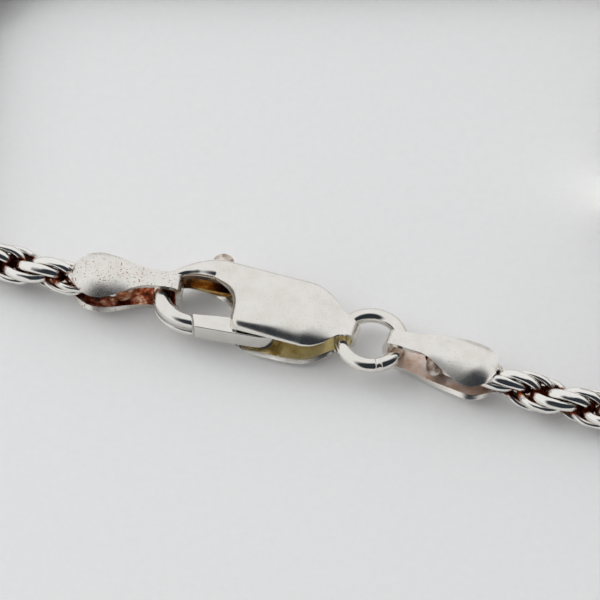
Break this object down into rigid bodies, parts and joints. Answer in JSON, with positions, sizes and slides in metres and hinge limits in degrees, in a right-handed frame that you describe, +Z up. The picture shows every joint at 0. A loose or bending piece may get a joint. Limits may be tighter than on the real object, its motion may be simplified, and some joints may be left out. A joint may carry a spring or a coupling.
{
  "type": "rope chain necklace",
  "caption": "Silver rope chain necklace with a lobster clasp hooked on a folded end tab, a jump ring and a second tab; spare chain lies as a bound hank.",
  "frame": {"origin": "on the table under the middle of the fastener: the box round the clasp, ring and end tabs, without the chain", "axes": "+X along the fastener from the hooked tab to the ring's tab, +Y away from the clasp's open front edge, +Z up from the table"},
  "size_m": [0.0621, 0.0364, 0.0056],
  "materials": {
    "silver_bright": "polished sterling silver, lightly worn",
    "silver_satin": "satin sterling silver sheet, fine scratches",
    "rope_silver": "polished silver wire, brown tarnish in the recesses",
    "tarnished_solder": "solder, pink-brown tarnish",
    "tarnished_wire": "wire, dark red-brown tarnish",
    "spring_steel": "hardened strip, plain",
    "tie_paper": "plain white paper band"
  },
  "bodies": {
    "clasp": {"clasp_top_plate": "silver_bright", "clasp_bottom_plate": "silver_bright", "clasp_hook": "silver_bright", "lever_rivet": "silver_satin", "lever_spring": "spring_steel", "left_chain_run": "rope_silver", "right_chain_run": "rope_silver", "chain_hank": "rope_silver", "hank_tie": "tie_paper"},
    "lever": {"clasp_lever": "silver_bright"},
    "ring": {"jump_ring": "silver_bright", "jump_ring_solder": "silver_satin"},
    "left_end": {"left_tab": "silver_satin", "left_tab_solder": "tarnished_solder", "left_end_link_1": "tarnished_wire", "left_end_link_2": "tarnished_wire", "left_end_link_3": "tarnished_wire"},
    "right_end": {"right_tab": "silver_satin", "right_tab_solder": "tarnished_solder", "right_end_link_1": "tarnished_wire", "right_end_link_2": "tarnished_wire", "right_end_link_3": "tarnished_wire"}
  },
  "joints": [
    {"name": "lever_pivot", "type": "hinge", "parent": "clasp", "child": "lever", "pos_m": [-0.00148, -0.00028, 0.0015], "axis": [0, 0, -1], "range_deg": [0, 22], "stiffness_Nm_per_rad": 0.01, "springref_deg": -11.46, "deforming": ["lever_spring"]},
    {"name": "left_tab_swing", "type": "hinge", "parent": "clasp", "child": "left_end", "pos_m": [-0.00574, 0.00193, 0.0015], "axis": [0, 0, 1], "range_deg": [-14, 14], "deforming": ["left_chain_run"]},
    {"name": "right_tab_swing", "type": "hinge", "parent": "clasp", "child": "right_end", "pos_m": [0.00558, -0.00126, 0.0015], "axis": [0, 0, 1], "range_deg": [-14, 14], "deforming": ["right_chain_run"]},
    {"name": "ring_roll", "type": "hinge", "parent": "clasp", "child": "ring", "pos_m": [0.00558, -0.00126, 0.0015], "axis": [0.9613, -0.2756, 0], "range_deg": [-9, 21]}
  ]
}
